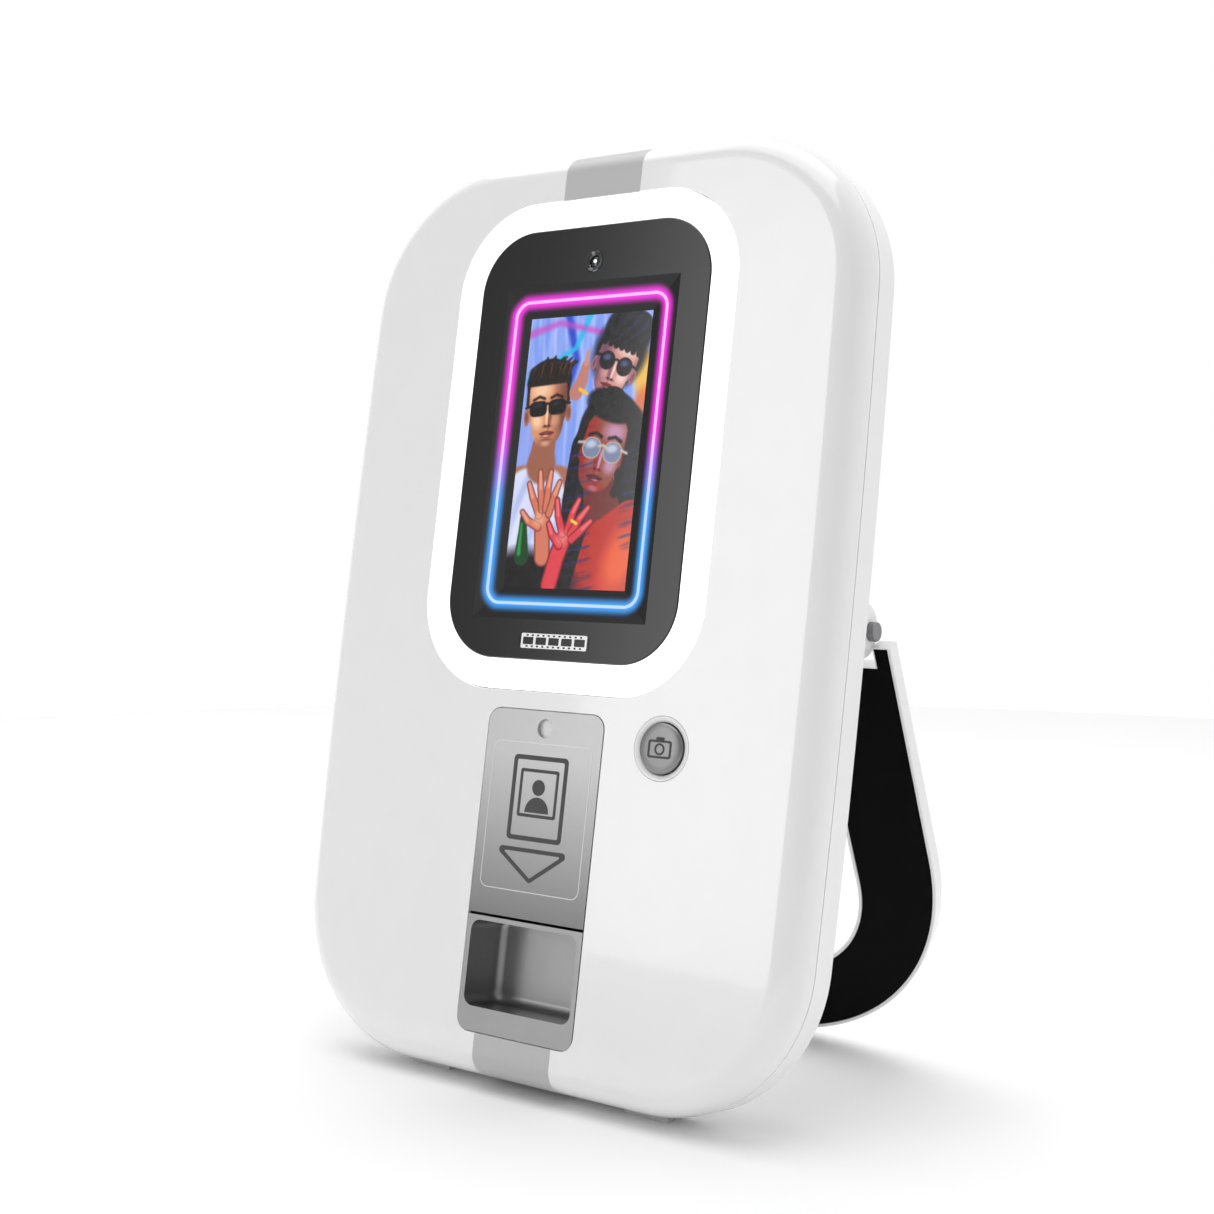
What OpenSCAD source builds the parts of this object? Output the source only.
// Countertop photo booth: a leaning glossy cabinet with a lit portrait display, a shutter
// button, a print door and tray, an inner roll-paper printer and a fold-out rear stand.
// Every module is drawn upright: x to the right, y backwards from the face, z up from the
// lower edge. place() then leans the cabinet back and stands it on its feet at Z = 0.

/* [Cabinet] */
// Width of the cabinet at its rounded corners
body_w = 337; // [300:1:380]
// Height of the cabinet along its face
body_h = 527; // [500:1:560]
// Depth of the cabinet rim
body_d = 36.8; // [32:0.1:44]
// How far each long side bows outwards at mid height
side_bow = 4.5; // [0:0.1:8]
// Corner radius at the top
top_r = 88; // [70:1:100]
// Corner radius at the bottom
bottom_r = 86; // [70:1:100]
// Depth over which the face rolls back to the rim
roll_d = 20.3; // [14:0.1:24]
// How far the roll comes in over the face
roll_in = 14.8; // [10:0.1:20]
// Wall thickness of the shells
wall = 3; // [2:0.1:4]
// Half width of the grey bands
band_hw = 26.6; // [20:0.1:34]
// Thickness of the grey bands
band_t = 1.2; // [0.8:0.1:1.6]

/* [Stance] */
// How far the face leans back
lean = 10; // [6:0.5:14]
// Angle of the open stand from the vertical
stand_angle = 23.2; // [18:0.1:28]
// Height of the cabinet's lower face edge above the ground
lift = 7.6; // [7:0.1:12]
// Place of the face's lower edge along the ground
shift_y = -109.09; // [-130:0.01:-90]

/* [Display] */
// Half width of the ring light
ring_hw = 96.6; // [90:0.1:105]
// Width of the ring light's band
ring_w = 16.6; // [12:0.1:20]
// Height of the ring light's lower edge
ring_z = 215.6; // [205:0.1:225]
// Height of the ring light's upper edge
ring_top = 496.6; // [480:0.1:500]
// Outer corner radius of the ring light
ring_r = 52; // [40:1:60]
// Half width of the sloping screen surround
recess_hw = 60.4; // [55:0.1:65]
// Depth of the screen behind the face
recess_d = 2.4; // [1:0.1:5]
// Width of the visible picture
screen_w = 85.3; // [80:0.1:90]
// Height of the visible picture
screen_h = 155.9; // [140:0.1:165]
// Height of the picture's centre
screen_z = 351.2; // [340:0.1:360]
// Half width of the neon tube's path
neon_hw = 52.8; // [50:0.1:56]
// Diameter of the neon tube
neon_d = 3; // [2:0.1:4]
// Height of the camera lens
camera_z = 459.4; // [450:0.1:470]
// Diameter of the camera's trim ring
camera_d = 12.8; // [10:0.1:16]

/* [Door and tray] */
// Half width of the print door and the tray frame
door_hw = 40; // [36:0.1:44]
// Height of the door's lower edge
door_z = 91.2; // [88:0.1:95]
// Height of the door's upper edge
door_top = 204.8; // [200:0.1:210]
// Thickness of the door
door_t = 2.4; // [2:0.1:3]
// Diameter of the finger hole
finger_d = 10.4; // [8:0.1:12]
// Height of the tray frame's lower edge
tray_z = 25.6; // [22:0.1:30]
// Inner depth of the tray
tray_d = 28; // [22:1:32]

/* [Shutter button] */
// Sideways place of the button
button_x = 78.3; // [70:0.1:85]
// Height of the button
button_z = 190.4; // [180:0.1:200]
// Diameter of the button cap
button_d = 27.2; // [24:0.1:30]
// Travel of the button
button_travel = 2.5; // [2:0.1:3]

/* [Stand] */
// Height of the stand's hinge axis
hinge_z = 262.4; // [250:0.1:275]
// Distance of the hinge axis behind the face
hinge_y = 54.4; // [52:0.1:58]
// Half width of the stand
stand_hw = 177; // [170:1:182]
// Outer corner radius of the stand
stand_r = 137; // [120:1:150]
// Thickness of the stand
stand_t = 10; // [8:0.1:12]
// Radius of the hinge pins
pin_r = 5.2; // [4:0.1:6]

/* [Printer] */
// Module of the gear teeth
gear_m = 0.8; // [0.8:0.1:0.8]
// Teeth of the motor pinion
pinion_teeth = 12; // [12:1:12]
// Teeth of the idler gear
idler_teeth = 30; // [30:1:30]
// Teeth of the platen gear
platen_teeth = 24; // [24:1:24]
// Radius of the paper roll
roll_r = 21; // [16:0.5:22]
// Width of the paper
paper_w = 56; // [52:1:58]

/* [Hidden] */
$fn = 48;
eps = 0.01;
fit = 0.4;                // reveal gap round the door, the button and the ring
run_gap = 0.05;           // radial clearance of a running shaft
roll_steps = 6;           // slabs that make the rolled edge
arc_steps = 12;           // points in one rounded corner of the cabinet
side_steps = 6;           // points along one bowed side

// Rear housing
housing_hw = 112;
housing_z = 48;
housing_top = 470;
housing_r = 56;
housing_y = 70;

vent_pitch = 7;
vent_gap = 3;
vent_top_z = 410;
vent_low_z = 148;
vent_side_x = -80;
vent_side_z = 213;
screw_hole_d = 4.2;
plate_corner = [20, 96];

// Grey bands
band_reach = 43;

// Badge
badge_hw = 28;
badge_z = 239;
badge_h = 8;

// Button seat and switch
seat_d = 34.4;
seat_flange_d = 42;
switch_y = 11.5 + button_travel;

// Display stack
bezel_hw = ring_hw - ring_w;
bezel_z = ring_z + ring_w + 0.6;
bezel_top = ring_top - ring_w + 0.3;
bezel_r = ring_r - ring_w;
recess_z = screen_z - screen_h / 2 - 18;
recess_top = screen_z + screen_h / 2 + 18.9;
neon_z = (recess_z + screen_z - screen_h / 2) / 2;
neon_top = (recess_top + screen_z + screen_h / 2) / 2;
neon_r = 9;
neon_y = recess_d / 2;

// Tray
tray_lip = 3;
tray_floor = 39.2;
tray_roof = 86.4;

// Door hinge
door_axis_y = 4.6;
door_axis_z = 94.4;
door_gap = 2.2;           // room below the door for its heel to swing
ledge_z = 186;
door_pin_r = 1.5;

// Stand, drawn folded flat and then swung open
swing = stand_angle + lean;
hinge_world_z = hinge_z * cos(lean) - hinge_y * sin(lean) + lift;
stand_front = -3;
stand_top = 8;
foot_h = 2;
stand_reach = (hinge_world_z + stand_front * sin(stand_angle)) / cos(stand_angle);
stand_len = stand_reach - foot_h + 0.5;
cut_hw = 126;
cut_r = 68;
cut_len = 228;
ear_x = 154;
ear_t = 12;
ear_r = 15;
ear_y = hinge_y - 6.4;
knuckle_x = 138;
knuckle_r = 9;
lip = 2;
insert_t = 1.6;

// Printer train
platen_y = 24;
platen_z = 118;
platen_r = 7;
roll_y = 37;
roll_z = 158;
side_x = 32;
side_t = 2;
gear_x = 36;
gear_t = 4;
backlash = 0.12;
idler_dist = gear_m * (idler_teeth + platen_teeth) / 2 + backlash;
pinion_dist = gear_m * (idler_teeth + pinion_teeth) / 2 + backlash;
idler_dir = 35;
pinion_dir = -60;
idler_y = platen_y + idler_dist * cos(idler_dir);
idler_z = platen_z + idler_dist * sin(idler_dir);
pinion_y = idler_y + pinion_dist * cos(pinion_dir);
pinion_z = idler_z + pinion_dist * sin(pinion_dir);

// Rocker switch and power inlet
rocker_x = -70;
rocker_z = 96;
inlet_x = rocker_x + 26;
inlet_d = 9;

// Hinge ears
ear_foot_x = ear_x - 8;
ear_screw_z = 20.5;

// Outline of the cabinet, moved inwards by an inset, with bowed sides.
function bowed(x, z) = x * (1 + side_bow / (body_w / 2) * (1 - pow((z - body_h / 2) / (body_h / 2), 2)));
function corner(sx, sz, r, inset, from) =
    [for (k = [0:arc_steps])
        let (a = from + 90 * k / arc_steps,
             x = sx * (body_w / 2 - r) + (r - inset) * cos(a),
             z = (sz > 0 ? body_h - r : r) + (r - inset) * sin(a))
        [bowed(x, z), z]];
function side(sx, inset) =
    [for (k = [1:side_steps - 1])
        let (t = k / side_steps,
             down = body_h - top_r + (bottom_r + top_r - body_h) * t,
             z = sx < 0 ? down : body_h - down + bottom_r - top_r)
        [bowed(sx * (body_w / 2 - inset), z), z]];
function outline(inset) = concat(corner(1, 1, top_r, inset, 0), corner(-1, 1, top_r, inset, 90),
    side(-1, inset), corner(-1, -1, bottom_r, inset, 180), corner(1, -1, bottom_r, inset, 270),
    side(1, inset));

module place() {
    translate([0, shift_y, lift]) rotate([-lean, 0, 0]) children();
}

// Extrudes a drawing in x and z from depth y0 back to depth y1.
module slab(y0, y1) {
    translate([0, y1, 0]) rotate([90, 0, 0]) linear_extrude(height = y1 - y0) children();
}

// Extrudes a drawing in y and z along x.
module along_x(x0, x1) {
    translate([x0, 0, 0]) rotate([90, 0, 90]) linear_extrude(height = x1 - x0) children();
}

// A rounded rectangle with straight sides, true arcs at its corners.
module rounded(hw, z0, z1, r) {
    translate([-hw + r, z0]) square([2 * (hw - r), z1 - z0]);
    translate([-hw, z0 + r]) square([2 * hw, z1 - z0 - 2 * r]);
    for (sx = [-1, 1], z = [z0 + r, z1 - r]) translate([sx * (hw - r), z]) circle(r = r);
}

module rounded_ring(hw, z0, z1, r, w) {
    difference() {
        rounded(hw, z0, z1, r);
        rounded(hw - w, z0 + w, z1 - w, r - w);
    }
}

// The cabinet's form from its face back to a given depth, moved inwards by an inset.
module cabinet_form(inset, back) {
    hull() {
        for (k = [0:roll_steps]) {
            a = 90 * k / roll_steps;
            y = inset + (roll_d - inset) * (1 - cos(a));
            slab(y, y + eps) polygon(outline(inset + roll_in * (1 - sin(a))));
        }
        slab(roll_d, back) polygon(outline(inset));
    }
}

module band_box(grow) {
    for (z = [-5, ring_top - 0.2]) {
        translate([-band_hw - grow, -5, z]) cube([2 * (band_hw + grow), body_d + 10, band_reach]);
    }
}

module front_shell() {
    color("white") place() {
        front_skin();
        slab(door_t + 0.2, wall + 2.6)
            translate([-door_hw - 4, ledge_z]) square([2 * door_hw + 8, door_top - ledge_z + 6]);
    }
}

module front_skin() {
    difference() {
        union() {
            difference() {
                cabinet_form(0, roll_d);
                band_box(0);
            }
            intersection() {
                cabinet_form(band_t, roll_d);
                band_box(0);
            }
        }
        cabinet_form(wall, roll_d + 1);
        slab(-1, wall + 1) rounded(ring_hw + 0.3, ring_z - 0.3, ring_top + 0.3, ring_r + 0.3);
        slab(-1, wall + 1) rounded(door_hw + fit, tray_z - fit, door_top + fit, 8.4);
        translate([button_x, wall + 1, button_z]) rotate([90, 0, 0]) cylinder(d = seat_d, h = wall + 2);
    }
}

// The rear housing from a given depth back, moved inwards by an inset.
module housing_form(inset, from) {
    hull() {
        slab(from, housing_y - 14) rounded_points(inset);
        slab(housing_y - 14, housing_y - 5) rounded_points(inset + 2);
        slab(housing_y - 5, housing_y - 1.4) rounded_points(inset + 5);
        slab(housing_y - 1.4, housing_y - inset) rounded_points(inset + 9);
    }
}

// Rounded rectangle of the rear housing, as one polygon for the hull.
module rounded_points(inset) {
    r = housing_r - inset;
    polygon([for (q = [0:3]) for (k = [0:8])
        let (a = 90 * q + 90 * k / 8, sx = q == 0 || q == 3 ? 1 : -1, cz = q < 2 ? housing_top - housing_r : housing_z + housing_r)
        [sx * (housing_hw - housing_r) + r * cos(a), cz + r * sin(a)]]);
}

module vent_slots(x, z0, count, hw) {
    for (k = [0:count - 1]) {
        translate([x - hw, housing_y - 6, z0 + vent_pitch * k]) cube([2 * hw, 12, vent_gap]);
    }
}

module screw_hole(x, y, z) {
    translate([x, y + 1, z]) rotate([90, 0, 0]) cylinder(d = screw_hole_d, h = 6);
}

module rear_shell() {
    color("white") place() difference() {
        slab(roll_d, body_d) polygon(outline(0));
        slab(roll_d - 1, body_d - wall) polygon(outline(wall));
        slab(body_d - wall - 1, body_d + 1) rounded_points(wall);
        for (z = [-5, body_h - band_t]) {
            translate([-band_hw, roll_d - 1, z]) cube([2 * band_hw, body_d, 5 + band_t]);
        }
        for (p = screw_spots) screw_hole(p[0], body_d, p[1]);
        for (sx = [-1, 1], z = [-ear_screw_z, ear_screw_z]) screw_hole(sx * ear_foot_x, body_d, hinge_z + z);
    }
}

module rear_housing() {
    color("white") place() difference() {
        housing_form(0, body_d);
        housing_form(wall, body_d - 1);
        vent_slots(0, vent_top_z, 5, 34);
        vent_slots(0, vent_low_z, 4, 22);
        vent_slots(vent_side_x, vent_side_z, 4, 12);
        translate([rocker_x - 8, housing_y - 6, rocker_z - 11]) cube([16, 12, 22]);
        translate([inlet_x, housing_y + 1, rocker_z]) rotate([90, 0, 0]) cylinder(d = inlet_d + 0.2, h = 12);
        for (p = housing_spots) screw_hole(p[0], housing_y, p[1]);
    }
}

screw_spots = [for (sx = [-1, 1], z = [60, 180, 350, 480]) [sx * (z > 470 || z < 70 ? 104 : 146), z]];
housing_spots = [for (sx = [-1, 1], z = [130, 400]) [sx * 88, z]];

module band_skin(z0) {
    intersection() {
        difference() {
            cabinet_form(0, body_d);
            cabinet_form(band_t, body_d + 1);
        }
        translate([-band_hw, -5, z0]) cube([2 * band_hw, body_d + 10, band_reach]);
    }
}

module top_band() { color("silver") place() band_skin(ring_top + 0.3); }
module bottom_band() {
    color("silver") place() intersection() {
        band_skin(-5);
        translate([-band_hw, -5, -5]) cube([2 * band_hw, body_d + 10, tray_z + 5 - fit]);
    }
}

module ring_area(grow) {
    difference() {
        rounded(ring_hw + grow, ring_z - grow, ring_top + grow, ring_r + grow);
        rounded(bezel_hw + 0.1, bezel_z - 0.1, bezel_top + 0.1, bezel_r);
    }
}

module ring_diffuser() {
    color("white") place() {
        slab(0, wall) ring_area(0);
        slab(wall, wall + 1.4) ring_area(3);
    }
}

module ring_board() {
    color("darkgreen") place() slab(6.2, 7.8) rounded_ring(ring_hw - 1, ring_z + 1, ring_top - 1, ring_r - 1, 14);
}

module ring_leds() {
    led_z = [for (k = [0:9]) ring_z + 36 + k * (ring_top - ring_z - 72) / 9];
    led_x = [for (k = [-2:2]) k * 24];
    color("gold") place() {
        for (sx = [-1, 1], z = led_z) translate([sx * (ring_hw - 8) - 1.75, 4.6, z - 1.75]) cube([3.5, 1.6, 3.5]);
        for (z = [ring_z + 8, ring_top - 8], x = led_x) translate([x - 1.75, 4.6, z - 1.75]) cube([3.5, 1.6, 3.5]);
    }
}

module bezel() {
    w0 = screen_w / 2;
    color("dimgray") place() difference() {
        slab(-0.4, 5.4) rounded(bezel_hw, bezel_z, bezel_top, bezel_r);
        hull() {
            slab(-1, -0.4) translate([-recess_hw - 0.2, recess_z - 0.2]) square([2 * recess_hw + 0.4, recess_top - recess_z + 0.4]);
            slab(recess_d, recess_d + eps) translate([-w0, screen_z - screen_h / 2]) square([2 * w0, screen_h]);
        }
        slab(0, 6) translate([-w0, screen_z - screen_h / 2]) square([2 * w0, screen_h]);
        slab(neon_y - 1.7, neon_y + 1.8)
            rounded_ring(neon_hw + neon_d / 2 + 0.05, neon_z - neon_d / 2 - 0.05, neon_top + neon_d / 2 + 0.05, neon_r + neon_d / 2, neon_d + 0.1);
        translate([0, 6, camera_z]) rotate([90, 0, 0]) cylinder(d = camera_d, h = 8);
        slab(-1, 0.2) translate([-badge_hw, badge_z]) square([2 * badge_hw, badge_h]);
    }
}

module neon_tube() {
    color("magenta") place() slab(neon_y - neon_d / 2, neon_y + neon_d / 2)
        rounded_ring(neon_hw + neon_d / 2, neon_z - neon_d / 2, neon_top + neon_d / 2, neon_r + neon_d / 2, neon_d);
}

module screen_glass() {
    color("lightblue") place() slab(recess_d, recess_d + 1.5)
        translate([-screen_w / 2, screen_z - screen_h / 2]) square([screen_w, screen_h]);
}

module lcd_panel() {
    color("black") place() slab(5.4, 9.4) translate([-screen_w / 2 - 4, screen_z - screen_h / 2 - 5]) square([screen_w + 8, screen_h + 12]);
}

module camera_ring() {
    color("black") place() translate([0, 5, camera_z]) rotate([90, 0, 0]) difference() {
        cylinder(d = camera_d, h = 5.7);
        translate([0, 0, -1]) cylinder(d = 6.4, h = 8);
    }
}

module camera_lens() {
    color("midnightblue") place() translate([0, 0.4, camera_z]) rotate([-90, 0, 0]) cylinder(d = 6.4, h = 4.6);
}

module camera_module() {
    color("darkgreen") place() {
        translate([-10, 7, camera_z - 8]) cube([20, 1.6, 16]);
        translate([0, 7, camera_z]) rotate([90, 0, 0]) cylinder(d = 6.2, h = 2);
    }
}

module badge() {
    color("white") place() translate([-badge_hw, -0.6, badge_z]) cube([2 * badge_hw, 0.8, badge_h]);
}

module button_seat() {
    color("white") place() translate([button_x, 8, button_z]) rotate([90, 0, 0]) difference() {
        union() {
            cylinder(d = seat_d - 0.2, h = 8.2);
            translate([0, 0, 2]) cylinder(d = seat_flange_d, h = 3);
        }
        translate([0, 0, -1]) cylinder(d = button_d + 2 * fit, h = 12);
    }
}

module button_cap() {
    color("silver") place() translate([button_x, 9, button_z]) rotate([90, 0, 0]) {
        cylinder(d = button_d, h = 10.4);
        translate([0, 0, -1.5]) cylinder(d = button_d + 4, h = 1.5 - 0.8);
        translate([0, 0, -1]) cylinder(d = button_d - 4, h = 1.2);
    }
}

module button_icon() {
    color("dimgray") place() slab(-1.6, -1.4) translate([button_x, button_z]) {
        difference() {
            rounded(7.2, -5, 4.2, 1.4);
            rounded(6.2, -4, 3.2, 0.7);
        }
        difference() {
            circle(r = 2.9);
            circle(r = 2.0);
        }
        translate([-2.2, 4.2]) square([4.4, 1.2]);
    }
}

module button_switch() {
    color("black") place() {
        translate([button_x - 6, switch_y, button_z - 6]) cube([12, 4, 12]);
        translate([button_x, switch_y, button_z]) rotate([90, 0, 0]) cylinder(d = 5, h = 0.9);
        translate([button_x - 14, switch_y + 4, button_z - 14]) cube([28, 1.6, 28]);
    }
}

module door_plate() {
    color("silver") place() difference() {
        union() {
            slab(0, door_t) difference() {
                rounded(door_hw, door_z, door_top, 8);
                translate([0, door_top - 9.6]) circle(d = finger_d);
            }
            slab(0, door_t) translate([-door_hw, door_z]) square([2 * door_hw, 12]);
            for (x = [-30, 20]) along_x(x, x + 10) {
                translate([door_axis_y, door_axis_z]) circle(r = 3.4);
                translate([0.5, door_axis_z - 3.4]) square([door_axis_y - 0.5, 6.8]);
            }
        }
        translate([-50, door_axis_y, door_axis_z]) rotate([0, 90, 0]) cylinder(r = door_pin_r + run_gap, h = 100);
    }
}

module door_icon() {
    line = 0.9;
    color("gray") place() slab(-0.15, 0) {
        rounded_ring(34, 104, 182, 5, 0.6);
        rounded_ring(12, 143, 173, 1.5, line);
        rounded_ring(8.6, 152, 169.6, 1, line);
        difference() {
            polygon([[-17, 131], [17, 131], [0, 114]]);
            polygon([[-14.2, 129.9], [14.2, 129.9], [0, 115.6]]);
        }
    }
}

module door_pin() {
    color("silver") place() translate([-door_hw - 4, door_axis_y, door_axis_z]) rotate([0, 90, 0])
        cylinder(r = door_pin_r, h = 2 * door_hw + 8);
}

module tray_bin() {
    color("silver") place() difference() {
        union() {
            slab(0, 2) difference() {
                rounded(door_hw, tray_z, door_z + 8, 7);
                translate([-door_hw - 1, door_z - door_gap]) square([2 * door_hw + 2, 20]);
            }
            slab(0, tray_d + 2) rounded(door_hw - 1, tray_floor - 2, tray_roof + 1.5, 5);
            for (sx = [-1, 1]) {
                along_x(sx > 0 ? door_hw + 1 : -door_hw - 3.5, sx > 0 ? door_hw + 3.5 : -door_hw - 1)
                    translate([wall + 0.2, 78]) square([4.8, 20]);
                along_x(sx > 0 ? door_hw - 2 : -door_hw - 3.5, sx > 0 ? door_hw + 3.5 : -door_hw + 2)
                    translate([wall + 0.2, 78]) square([4.8, 6]);
            }
        }
        translate([-60, door_axis_y, door_axis_z]) rotate([0, 90, 0]) cylinder(r = door_pin_r, h = 120);
        slab(-1, tray_d) rounded(door_hw - tray_lip, tray_floor, tray_roof, 4);
        translate([-30, 13, tray_roof - 1]) cube([60, 5, 4]);
    }
}

module main_board() {
    color("darkgreen") place() translate([-62, 30, 262]) cube([124, 1.6, 128]);
}

module board_chips() {
    color("black") place() {
        for (p = [[-20, 300, 26], [18, 330, 18], [-44, 350, 14], [30, 290, 12]])
            translate([p[0], 31.6, p[1]]) cube([p[2], 2.4, p[2]]);
        for (x = [-50, -30, 10, 34]) translate([x, 31.6, 372]) cube([12, 7, 8]);
    }
}

module display_ribbon() {
    color("orange") place() {
        translate([-16, 9.4, 268]) cube([32, 0.4, 40]);
        translate([-16, 9.4, 267.6]) cube([32, 20.6, 0.4]);
    }
}

module battery_pack() {
    color("royalblue") place() for (k = [0:3]) {
        translate([-39 + 19.4 * k, 50, 318]) cylinder(d = 18.4, h = 65);
    }
}

module speaker() {
    color("black") place() {
        translate([-80, 64, 224]) rotate([90, 0, 0]) difference() {
            cylinder(d = 40, h = 5);
            translate([0, 0, 1]) cylinder(d = 34, h = 6);
        }
        translate([-80, 59, 224]) rotate([90, 0, 0]) cylinder(d = 24, h = 9);
    }
}

module power_inlet() {
    color("black") place() translate([inlet_x, housing_y, rocker_z]) rotate([90, 0, 0]) {
        difference() {
            cylinder(d = inlet_d, h = 13);
            translate([0, 0, -1]) cylinder(d = 6.4, h = 11);
        }
        cylinder(d = 1.9, h = 10);
    }
}

module rocker_frame() {
    color("black") place() difference() {
        union() {
            translate([rocker_x - 7.9, housing_y - 14, rocker_z - 10.9]) cube([15.8, 14, 21.8]);
            translate([rocker_x - 9.5, housing_y, rocker_z - 12.5]) cube([19, 1.6, 25]);
        }
        translate([rocker_x - 5.6, housing_y - 12, rocker_z - 8.6]) cube([11.2, 20, 17.2]);
        translate([rocker_x - 6.7, housing_y - 2, rocker_z]) rotate([0, 90, 0]) cylinder(r = 1 + run_gap, h = 13.4);
    }
}

// The cap rests with its lower half pressed in; it turns about its pivot to the other side.
module rocker_cap() {
    color("dimgray") place() translate([rocker_x, housing_y - 2, rocker_z]) {
        rotate([-9, 0, 0]) along_x(-5.3, 5.3)
            polygon([[-4.5, -3.5], [-4.5, 3.5], [0.5, 7.3], [4.4, 7.8], [2.6, 0], [4.4, -7.8], [0.5, -7.3]]);
        translate([-6.6, 0, 0]) rotate([0, 90, 0]) cylinder(r = 1, h = 13.2);
    }
}

module printer_chassis() {
    color("silver") place() difference() {
        union() {
            for (x = [-side_x - side_t, side_x]) along_x(x, x + side_t) {
                polygon([[14, 104], [62, 104], [62, 150], [60, 184], [34, 184], [14, 146]]);
            }
            translate([-side_x, 60, 104]) cube([2 * side_x, 2, 40]);
            translate([-side_x, 34, 104]) cube([2 * side_x, 26, 2]);
        }
        translate([-50, platen_y, platen_z]) rotate([0, 90, 0]) cylinder(r = 2 + run_gap, h = 100);
        translate([-50, roll_y, roll_z]) rotate([0, 90, 0]) cylinder(r = 3, h = 100);
        translate([0, idler_y, idler_z]) rotate([0, 90, 0]) cylinder(r = 1.5, h = 50);
        translate([0, pinion_y, pinion_z]) rotate([0, 90, 0]) cylinder(r = 5, h = 50);
    }
}

module print_head() {
    color("dimgray") place() {
        translate([-29, platen_y + platen_r + 0.3, platen_z - 8]) cube([58, 2, 20]);
        translate([-29, platen_y + platen_r + 2.3, platen_z - 6]) cube([58, 5, 12]);
        translate([-31.8, platen_y + platen_r + 7.3, platen_z - 4]) cube([63.6, 1.5, 10]);
    }
}

module platen_roller() {
    color("black") place() translate([0, platen_y, platen_z]) rotate([0, 90, 0]) {
        translate([0, 0, -29]) cylinder(r = platen_r, h = 58);
        translate([0, 0, -36]) cylinder(r = 2, h = 76.4);
    }
}

// Spur gear with straight-flanked teeth, turned by a phase.
module spur(teeth, phase) {
    r = gear_m * teeth / 2;
    for (k = [0:teeth - 1]) rotate(phase + 360 * k / teeth) polygon([
        [r - 1.25 * gear_m - 0.5, -0.58 * gear_m * 1.5], [r - 1.25 * gear_m, -0.58 * gear_m * 1.45],
        [r, -0.36 * gear_m * 1.8], [r + gear_m, -0.2 * gear_m * 1.5], [r + gear_m, 0.2 * gear_m * 1.5],
        [r, 0.36 * gear_m * 1.8], [r - 1.25 * gear_m, 0.58 * gear_m * 1.45],
        [r - 1.25 * gear_m - 0.5, 0.58 * gear_m * 1.5]]);
    circle(r = r - 1.2 * gear_m);
}

module gear_at(y, z, teeth, phase, bore, x0, h) {
    translate([x0, y, z]) rotate([90, 0, 90]) difference() {
        linear_extrude(height = h) spur(teeth, phase);
        translate([0, 0, -1]) cylinder(r = bore, h = h + 2);
    }
}

module platen_gear() {
    color("white") place() gear_at(platen_y, platen_z, platen_teeth, idler_dir, 2, gear_x, gear_t);
}

module idler_gear() {
    color("white") place() gear_at(idler_y, idler_z, idler_teeth, idler_dir + 180 + 180 / idler_teeth, 1.5 + run_gap, gear_x, gear_t);
}

module idler_stud() {
    color("silver") place() translate([side_x, idler_y, idler_z]) rotate([0, 90, 0]) {
        cylinder(r = 1.5, h = 9);
        translate([0, 0, gear_x - side_x + gear_t + 0.3]) cylinder(r = 2.6, h = 1);
    }
}

pinion_phase = pinion_dir + 180
    + (pinion_dir - (idler_dir + 180 + 180 / idler_teeth)) * idler_teeth / pinion_teeth + 180 / pinion_teeth;

module motor_pinion() {
    color("gold") place() gear_at(pinion_y, pinion_z, pinion_teeth, pinion_phase, 1, gear_x, gear_t);
}

module stepper_motor() {
    color("silver") place() translate([0, pinion_y, pinion_z]) rotate([0, 90, 0]) {
        translate([0, 0, side_x - 16]) cylinder(d = 18, h = 16);
        translate([0, 0, side_x]) cylinder(r = 4.8, h = side_t);
        translate([0, 0, side_x]) cylinder(r = 0.97, h = 9);
    }
}

module paper_roll() {
    color("ivory") place() translate([-paper_w / 2, roll_y, roll_z]) rotate([0, 90, 0]) difference() {
        cylinder(r = roll_r, h = paper_w);
        translate([0, 0, -1]) cylinder(r = 7, h = paper_w + 2);
    }
}

module paper_core() {
    color("tan") place() translate([-paper_w / 2, roll_y, roll_z]) rotate([0, 90, 0]) difference() {
        cylinder(r = 7, h = paper_w);
        translate([0, 0, -1]) cylinder(r = 3 + run_gap, h = paper_w + 2);
    }
}

module roll_spindle() {
    color("dimgray") place() translate([-side_x - side_t - 1, roll_y, roll_z]) rotate([0, 90, 0]) cylinder(r = 3, h = 2 * (side_x + side_t + 1));
}

module ear_profile() {
    intersection() {
        translate([ear_y, hinge_z]) circle(r = ear_r);
        translate([body_d, hinge_z - ear_r]) square([2 * ear_r, 2 * ear_r]);
    }
    translate([body_d, hinge_z - ear_r]) square([ear_y - body_d, 2 * ear_r]);
}

module hinge_ears() {
    color("white") place() for (sx = [-1, 1]) difference() {
        union() {
            along_x(sx > 0 ? ear_x : -ear_x - ear_t, sx > 0 ? ear_x + ear_t : -ear_x) ear_profile();
            translate([sx * ear_foot_x - 8, body_d, hinge_z - 26]) cube([16, 3, 52]);
        }
        translate([sx * ear_x - 20, hinge_y, hinge_z]) rotate([0, 90, 0]) cylinder(r = pin_r, h = 40);
        for (z = [-ear_screw_z, ear_screw_z]) translate([sx * ear_foot_x, body_d + 4, hinge_z + z]) rotate([90, 0, 0]) cylinder(r = 2.1, h = 5);
    }
}

module hinge_pins() {
    color("gray") place() for (sx = [-1, 1]) {
        translate([sx > 0 ? knuckle_x - 2 : -ear_x - ear_t - 4, hinge_y, hinge_z]) rotate([0, 90, 0])
            cylinder(r = pin_r, h = ear_x + ear_t + 4 - knuckle_x + 2);
    }
}

// Swings a folded drawing of the stand open about the hinge axis.
module open_stand() {
    place() translate([0, hinge_y, hinge_z]) rotate([swing, 0, 0]) children();
}

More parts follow.
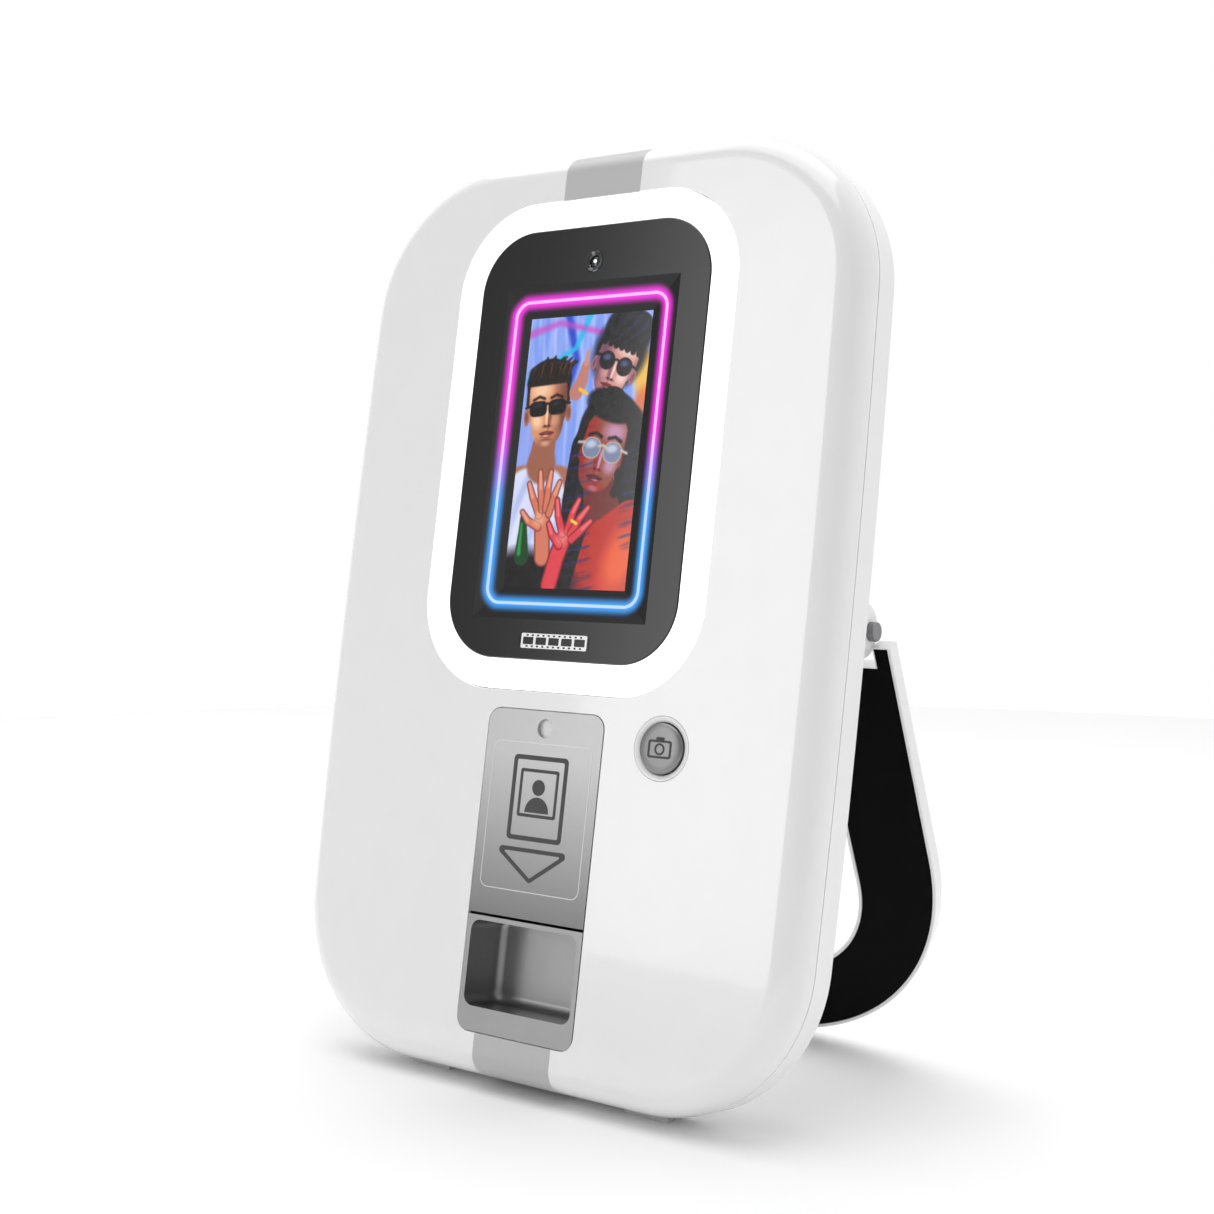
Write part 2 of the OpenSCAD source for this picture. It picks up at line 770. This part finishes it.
// Half-open U of the stand, moved inwards by an edge width.
module stand_outline(edge) {
    difference() {
        union() {
            translate([-stand_hw + edge, -stand_len + stand_r]) square([2 * (stand_hw - edge), stand_len - stand_r - stand_top - edge]);
            translate([-stand_hw + stand_r, -stand_len + edge]) square([2 * (stand_hw - stand_r), stand_r]);
            for (sx = [-1, 1]) translate([sx * (stand_hw - stand_r), -stand_len + stand_r]) circle(r = stand_r - edge, $fn = 96);
        }
        translate([-cut_hw - edge, -cut_len + cut_r]) square([2 * (cut_hw + edge), cut_len]);
        translate([-cut_hw + cut_r, -cut_len - edge]) square([2 * (cut_hw - cut_r), cut_r]);
        for (sx = [-1, 1]) translate([sx * (cut_hw - cut_r), -cut_len + cut_r]) circle(r = cut_r + edge, $fn = 96);
        for (sx = [-1, 1]) {
            translate([sx * (ear_x + ear_t / 2), -stand_top]) square([ear_t + 1.2 + 2 * edge, 24 + 2 * edge], center = true);
        }
    }
}

module stand_frame() {
    color("white") open_stand() difference() {
        union() {
            difference() {
                slab(stand_front, stand_front + stand_t) stand_outline(0);
                slab(stand_front - 1, stand_front + insert_t) stand_outline(lip);
            }
            for (sx = [-1, 1]) along_x(sx > 0 ? knuckle_x : -ear_x + 0.6, sx > 0 ? ear_x - 0.6 : -knuckle_x) {
                circle(r = knuckle_r);
                translate([stand_front + insert_t, -stand_top - 6]) square([stand_t - insert_t, stand_top + 6]);
            }
        }
        translate([-200, 0, 0]) rotate([0, 90, 0]) cylinder(r = pin_r + run_gap, h = 400);
    }
}

module stand_insert() { color("black") open_stand() slab(stand_front, stand_front + insert_t) stand_outline(lip); }

module ground_cut() {
    difference() {
        children();
        translate([-300, -300, -50]) cube([600, 900, 50]);
    }
}

module stand_foot() {
    color("gray") ground_cut() open_stand()
        translate([-36, stand_front, -stand_len - foot_h - 1]) cube([72, stand_t, foot_h + 1]);
}

module front_feet() {
    color("gainsboro") ground_cut() place() for (x = [-89.6, 61.6]) translate([x, 24, -20]) cube([28, 9, 20]);
}

module screw(x, y, z) {
    translate([x, y, z]) rotate([90, 0, 0]) {
        cylinder(r = 2.05, h = 4);
        translate([0, 0, -1.4]) difference() {
            cylinder(r = 3.6, h = 1.4);
            translate([-0.4, -2.2, -1]) cube([0.8, 4.4, 1.8]);
            translate([-2.2, -0.4, -1]) cube([4.4, 0.8, 1.8]);
        }
    }
}

module rear_screws() {
    color("silver") place() {
        for (p = screw_spots) screw(p[0], body_d, p[1]);
        for (p = housing_spots) screw(p[0], housing_y, p[1]);
    }
}

module ear_screws() {
    color("silver") place() for (sx = [-1, 1], z = [-ear_screw_z, ear_screw_z]) screw(sx * ear_foot_x, body_d + 3, hinge_z + z);
}

module rating_plate() {
    color("gainsboro") place() translate([plate_corner[0], housing_y, plate_corner[1]]) cube([52, 0.3, 24]);
}

front_shell();
rear_shell();
rear_housing();
top_band();
bottom_band();
ring_diffuser();
ring_board();
ring_leds();
bezel();
neon_tube();
screen_glass();
lcd_panel();
camera_ring();
camera_lens();
camera_module();
badge();
button_seat();
button_cap();
button_icon();
button_switch();
door_plate();
door_icon();
door_pin();
tray_bin();
main_board();
board_chips();
display_ribbon();
battery_pack();
speaker();
power_inlet();
rocker_frame();
rocker_cap();
printer_chassis();
print_head();
platen_roller();
platen_gear();
idler_gear();
idler_stud();
motor_pinion();
stepper_motor();
paper_roll();
paper_core();
roll_spindle();
hinge_ears();
hinge_pins();
stand_frame();
stand_insert();
stand_foot();
front_feet();
rear_screws();
ear_screws();
rating_plate();
